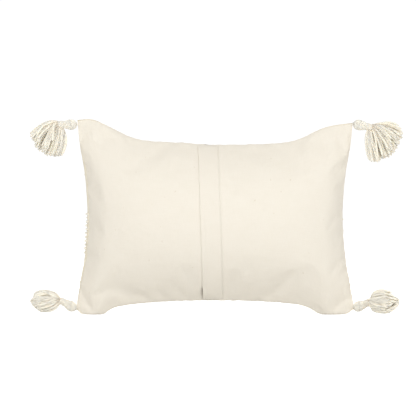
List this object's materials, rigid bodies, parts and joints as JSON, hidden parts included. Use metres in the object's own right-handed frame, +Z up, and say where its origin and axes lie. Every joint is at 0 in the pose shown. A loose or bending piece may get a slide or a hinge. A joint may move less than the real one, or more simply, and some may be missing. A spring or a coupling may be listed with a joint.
{
  "type": "throw pillow",
  "caption": "Rectangular lumbar throw pillow in cream cotton with a lapped zip down the back, a stuffed insert and a knotted yarn tassel at each corner.",
  "frame": {"origin": "middle of the underside of the bounding box, on the surface that the pillow stands on", "axes": "+X along the width, +Y towards the textured front so the zip back faces -Y, +Z up"},
  "size_m": [0.6641, 0.1561, 0.347],
  "materials": {
    "back_cotton": "plain woven cotton",
    "front_cotton": "textured loop weave",
    "casing_cotton": "fine plain ticking",
    "fibre_fill": "polyester fibre",
    "zip_tape": "woven tape",
    "zip_nylon": "nylon coil",
    "zip_metal": "satin",
    "thread": "cotton thread",
    "tassel_yarn": "soft cotton yarn"
  },
  "bodies": {
    "cover": {"front_panel": "front_cotton", "back_panel_left": "back_cotton", "back_panel_right": "back_cotton", "insert_casing_back": "casing_cotton", "insert_casing_front": "casing_cotton", "insert_filling": "fibre_fill", "zip_tape_left": "zip_tape", "zip_tape_right": "zip_tape", "zip_coil_left": "zip_nylon", "zip_coil_right": "zip_nylon", "zip_top_stops": "zip_metal", "zip_bottom_stop": "zip_metal", "lap_stitches": "thread", "corner_stitches": "thread"},
    "closure_lap": {"zip_lap": "back_cotton"},
    "slider": {"zip_slider": "zip_metal"},
    "pull_tab": {"zip_pull_tab": "zip_metal"},
    "tassel_tl_cord": {"tassel_tl_loop": "tassel_yarn"},
    "tassel_tl_head": {"tassel_tl_knob": "tassel_yarn", "tassel_tl_neck_wrap": "tassel_yarn"},
    "tassel_tl_tail": {"tassel_tl_skirt": "tassel_yarn"},
    "tassel_tr_cord": {"tassel_tr_loop": "tassel_yarn"},
    "tassel_tr_head": {"tassel_tr_knob": "tassel_yarn", "tassel_tr_neck_wrap": "tassel_yarn"},
    "tassel_tr_tail": {"tassel_tr_skirt": "tassel_yarn"},
    "tassel_bl_cord": {"tassel_bl_loop": "tassel_yarn"},
    "tassel_bl_head": {"tassel_bl_knob": "tassel_yarn", "tassel_bl_neck_wrap": "tassel_yarn"},
    "tassel_bl_tail": {"tassel_bl_skirt": "tassel_yarn"},
    "tassel_br_cord": {"tassel_br_loop": "tassel_yarn"},
    "tassel_br_head": {"tassel_br_knob": "tassel_yarn", "tassel_br_neck_wrap": "tassel_yarn"},
    "tassel_br_tail": {"tassel_br_skirt": "tassel_yarn"}
  },
  "joints": [
    {"name": "zip_slider_travel", "type": "hinge", "parent": "cover", "child": "slider", "pos_m": [-0.008, 0.08946, 0.165], "axis": [-0.9993, 0, -0.0384], "range_deg": [0, 89], "deforming": ["zip_coil_left", "zip_coil_right"]},
    {"name": "pull_tab_lift", "type": "hinge", "parent": "slider", "child": "pull_tab", "pos_m": [-0.00364, -0.02532, 0.05139], "axis": [0.9993, 0, 0.0384], "range_deg": [0, 12]},
    {"name": "lap_lift", "type": "hinge", "parent": "cover", "child": "closure_lap", "pos_m": [0.009, -0.066, 0.165], "axis": [-0.0384, 0, 0.9993], "range_deg": [0, 50], "deforming": ["zip_lap"]},
    {"name": "tassel_tl_swing", "type": "hinge", "parent": "cover", "child": "tassel_tl_cord", "pos_m": [-0.2494, 0, 0.338], "axis": [0, 1, 0], "range_deg": [-25, 60]},
    {"name": "tassel_tl_turn", "type": "hinge", "parent": "tassel_tl_cord", "child": "tassel_tl_head", "pos_m": [-0.2526, 0, 0.338], "axis": [0, 0, 1], "range_deg": [-30, 30]},
    {"name": "tassel_tl_skirt_lift", "type": "hinge", "parent": "tassel_tl_head", "child": "tassel_tl_tail", "pos_m": [-0.2782, 0, 0.338], "axis": [0, 1, 0], "range_deg": [-5, 80]},
    {"name": "tassel_tr_swing", "type": "hinge", "parent": "cover", "child": "tassel_tr_cord", "pos_m": [0.2494, 0, 0.338], "axis": [0, -1, 0], "range_deg": [-25, 60]},
    {"name": "tassel_tr_turn", "type": "hinge", "parent": "tassel_tr_cord", "child": "tassel_tr_head", "pos_m": [0.2526, 0, 0.338], "axis": [0, 0, 1], "range_deg": [-30, 30]},
    {"name": "tassel_tr_skirt_lift", "type": "hinge", "parent": "tassel_tr_head", "child": "tassel_tr_tail", "pos_m": [0.27764, 0, 0.33268], "axis": [0, -1, 0], "range_deg": [-5, 80]},
    {"name": "tassel_bl_swing", "type": "hinge", "parent": "cover", "child": "tassel_bl_cord", "pos_m": [-0.2494, 0, 0.01306], "axis": [0, 1, 0], "range_deg": [0, 15]},
    {"name": "tassel_bl_turn", "type": "hinge", "parent": "tassel_bl_cord", "child": "tassel_bl_head", "pos_m": [-0.2526, 0, 0.01306], "axis": [0, 0, 1], "range_deg": [-30, 30]},
    {"name": "tassel_bl_skirt_lift", "type": "hinge", "parent": "tassel_bl_head", "child": "tassel_bl_tail", "pos_m": [-0.2752, 0, 0.02508], "axis": [0, 1, 0], "range_deg": [0, 60]},
    {"name": "tassel_br_swing", "type": "hinge", "parent": "cover", "child": "tassel_br_cord", "pos_m": [0.2494, 0, 0.01306], "axis": [0, -1, 0], "range_deg": [0, 15]},
    {"name": "tassel_br_turn", "type": "hinge", "parent": "tassel_br_cord", "child": "tassel_br_head", "pos_m": [0.2526, 0, 0.01306], "axis": [0, 0, 1], "range_deg": [-30, 30]},
    {"name": "tassel_br_skirt_lift", "type": "hinge", "parent": "tassel_br_head", "child": "tassel_br_tail", "pos_m": [0.27634, 0, 0.02265], "axis": [0, -1, 0], "range_deg": [0, 60]}
  ]
}
